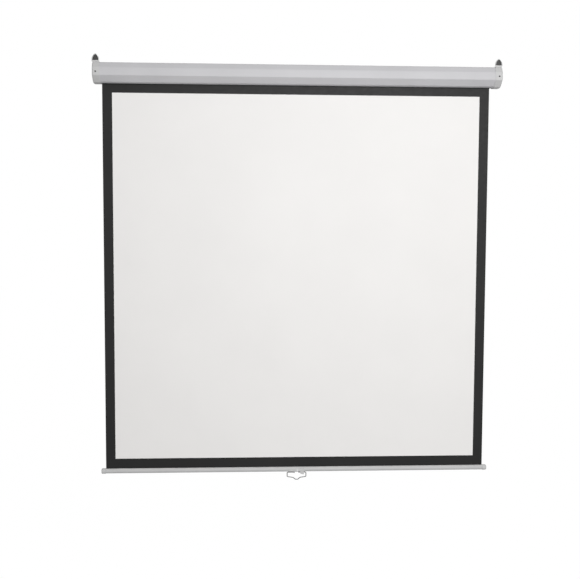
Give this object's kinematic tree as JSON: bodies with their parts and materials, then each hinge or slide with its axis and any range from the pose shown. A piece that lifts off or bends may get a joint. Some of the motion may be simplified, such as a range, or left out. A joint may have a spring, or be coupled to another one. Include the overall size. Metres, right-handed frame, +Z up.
{
  "type": "projection screen",
  "caption": "Pull-down projection screen: a wall case with a locking spring roller, white fabric with a black border, and a weighted bar with a wire pull handle.",
  "frame": {"origin": "midway between the two hanger holes, on the back faces of the hanger plates", "axes": "+X to the viewer's right along the case, +Y back to the wall, +Z up; the screen faces -Y"},
  "size_m": [1.893, 0.0867, 1.9927],
  "materials": {
    "case_paint": "satin powder coat",
    "cap_plastic": "fine moulded texture",
    "hanger_steel": "black oxide",
    "screw_black": "black oxide",
    "screw_zinc": "zinc plated",
    "screen_cloth": "matte white with a printed black border and a black back",
    "roller_aluminium": "mill finish",
    "plug_plastic": "moulded",
    "bush_nylon": "moulded",
    "plain_steel": "bright drawn",
    "spring_steel": "oil tempered",
    "bar_paint": "satin powder coat",
    "handle_wire": "nickel plated"
  },
  "bodies": {
    "case": {"case_shell": "case_paint", "left_end_cap": "cap_plastic", "right_end_cap": "cap_plastic", "left_hanger_plate": "hanger_steel", "right_hanger_plate": "hanger_steel", "hanger_screws": "screw_zinc", "cap_screws": "screw_black", "idle_bush": "bush_nylon", "spindle": "plain_steel", "ratchet_wheel": "plain_steel", "spring_collar": "plain_steel", "spindle_pins": "plain_steel", "torsion_spring": "spring_steel", "screen_fabric": "screen_cloth"},
    "roller": {"roller_tube": "roller_aluminium", "idle_plug": "plug_plastic", "idle_pin": "plain_steel", "roller_head": "plug_plastic", "pawl_pins": "plain_steel", "spring_plug": "plug_plastic", "fabric_wraps": "screen_cloth"},
    "upper_pawl": {"pawl_upper": "plain_steel"},
    "lower_pawl": {"pawl_lower": "plain_steel"},
    "bar": {"bottom_bar": "bar_paint", "left_bar_cap": "cap_plastic", "right_bar_cap": "cap_plastic", "hem_rod": "plain_steel", "handle_bracket": "bar_paint", "bracket_screws": "screw_zinc"},
    "handle": {"pull_handle": "handle_wire"}
  },
  "joints": [
    {"name": "screen_slide", "type": "slide", "parent": "case", "child": "bar", "axis": [0, 0, 1], "range_m": [0, 1.793], "deforming": ["screen_fabric"]},
    {"name": "roller_spin", "type": "hinge", "parent": "case", "child": "roller", "pos_m": [0, 0, -0.065], "axis": [1, 0, 0], "range_deg": [0, 4185]},
    {"name": "pawl_upper_swing", "type": "hinge", "parent": "roller", "child": "upper_pawl", "pos_m": [0.892, 0, -0.053], "axis": [1, 0, 0], "range_deg": [0, 25]},
    {"name": "pawl_lower_swing", "type": "hinge", "parent": "roller", "child": "lower_pawl", "pos_m": [0.892, 0, -0.077], "axis": [1, 0, 0], "range_deg": [-25, 0]},
    {"name": "handle_swing", "type": "hinge", "parent": "bar", "child": "handle", "pos_m": [-0.002, 0.02165, -1.9401], "axis": [1, 0, 0], "range_deg": [-110, 110]}
  ],
  "couplings": [
    {"joint": "roller_spin", "follows": "screen_slide", "rad_per_m": 40.7}
  ]
}
